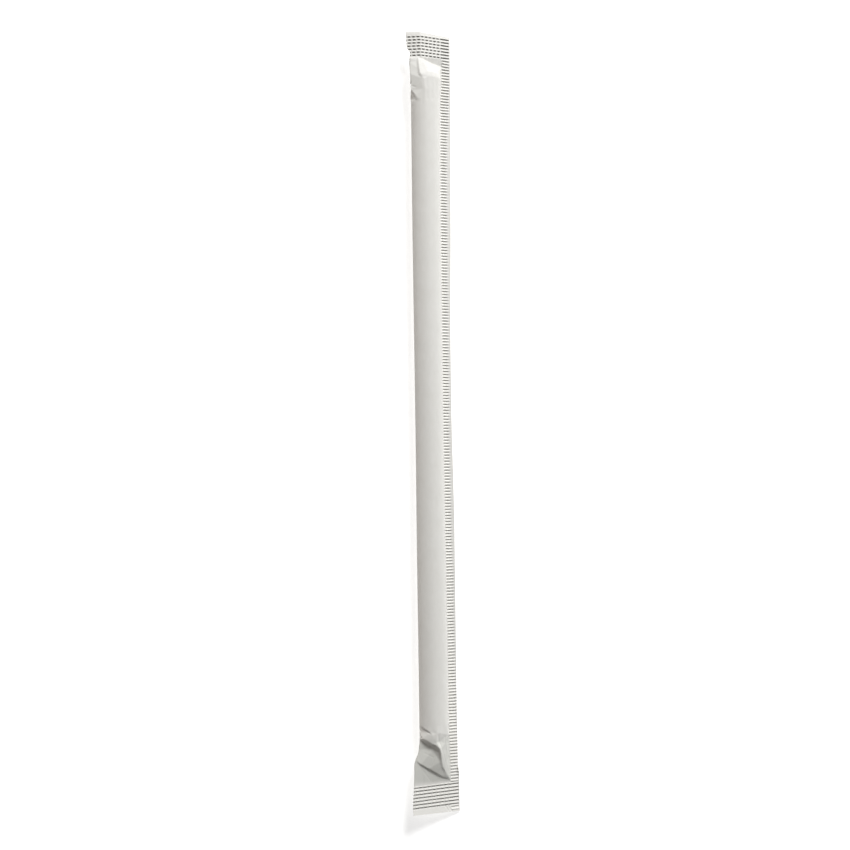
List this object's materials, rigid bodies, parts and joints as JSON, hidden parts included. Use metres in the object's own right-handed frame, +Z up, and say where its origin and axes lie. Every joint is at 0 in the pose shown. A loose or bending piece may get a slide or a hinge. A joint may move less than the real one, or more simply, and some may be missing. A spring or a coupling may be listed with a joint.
{
  "type": "wrapped drinking straw",
  "caption": "Drinking straw sealed in a plain white paper sleeve with a crimped seal down one side and across both ends.",
  "frame": {"origin": "on the table, under the middle of the lying pack", "axes": "+Y along the straw towards the end with the shorter seal, +Z up off the table, +X towards the side where the long crimped seal lies"},
  "size_m": [0.0138, 0.2326, 0.006],
  "materials": {
    "sleeve_paper": "thin bleached machine-glazed paper, satin"
  },
  "bodies": {
    "root": {"wrapped_straw": "sleeve_paper"}
  },
  "joints": []
}
